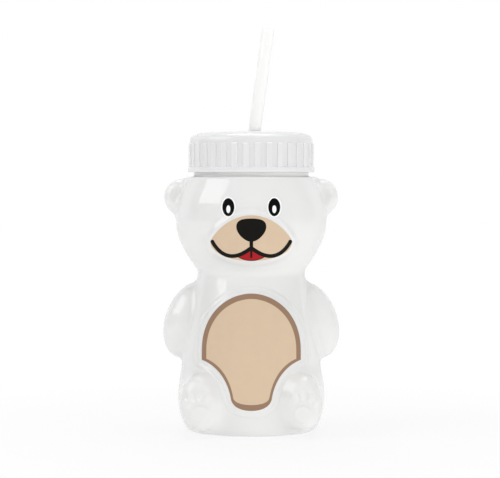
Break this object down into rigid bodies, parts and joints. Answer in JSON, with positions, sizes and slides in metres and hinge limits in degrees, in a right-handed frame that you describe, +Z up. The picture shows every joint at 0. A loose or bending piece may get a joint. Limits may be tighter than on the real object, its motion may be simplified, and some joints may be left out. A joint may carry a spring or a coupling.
{
  "type": "bear-shaped drinking bottle",
  "caption": "Hollow white bottle moulded as a sitting bear with a printed face and belly, a ribbed screw lid over a threaded neck, and a straw that leans and slides in the lid.",
  "frame": {"origin": "on the surface the bottle stands on, under the axis of its neck", "axes": "+Z up along the neck's axis, -Y the way the bear faces, +X towards the bear's own left arm"},
  "size_m": [0.098, 0.0826, 0.2232],
  "materials": {
    "shell_plastic": "glossy moulded white plastic",
    "lid_plastic": "satin moulded white plastic",
    "gasket_rubber": "matte pale silicone",
    "straw_plastic": "glossy white extruded plastic",
    "brown_print": "satin printed ink",
    "tan_print": "satin printed ink",
    "black_print": "satin printed ink",
    "red_print": "satin printed ink",
    "white_print": "satin printed ink"
  },
  "bodies": {
    "bottle": {"bottle_shell": "shell_plastic", "belly_border_print": "brown_print", "belly_panel_print": "tan_print", "muzzle_print": "tan_print", "nose_print": "black_print", "mouth_print": "black_print", "tongue_print": "red_print", "left_eye_white_print": "white_print", "left_eye_black_print": "black_print", "right_eye_white_print": "white_print", "right_eye_black_print": "black_print"},
    "gasket": {"lid_gasket": "gasket_rubber"},
    "lid": {"screw_lid": "lid_plastic"},
    "straw": {"straw": "straw_plastic"}
  },
  "joints": [
    {"name": "lid_lift", "type": "slide", "parent": "bottle", "child": "gasket", "axis": [0, 0, 1], "range_m": [0, 0.00525]},
    {"name": "lid_turn", "type": "hinge", "parent": "gasket", "child": "lid", "pos_m": [0, 0, 0.1632], "axis": [0, 0, 1], "range_deg": [0, 450]},
    {"name": "straw_slide", "type": "slide", "parent": "lid", "child": "straw", "axis": [0.1331, 0, 0.9911], "range_m": [0, 0.129]}
  ],
  "couplings": [
    {"joint": "lid_lift", "follows": "lid_turn", "m_per_rad": 0.00066845}
  ]
}
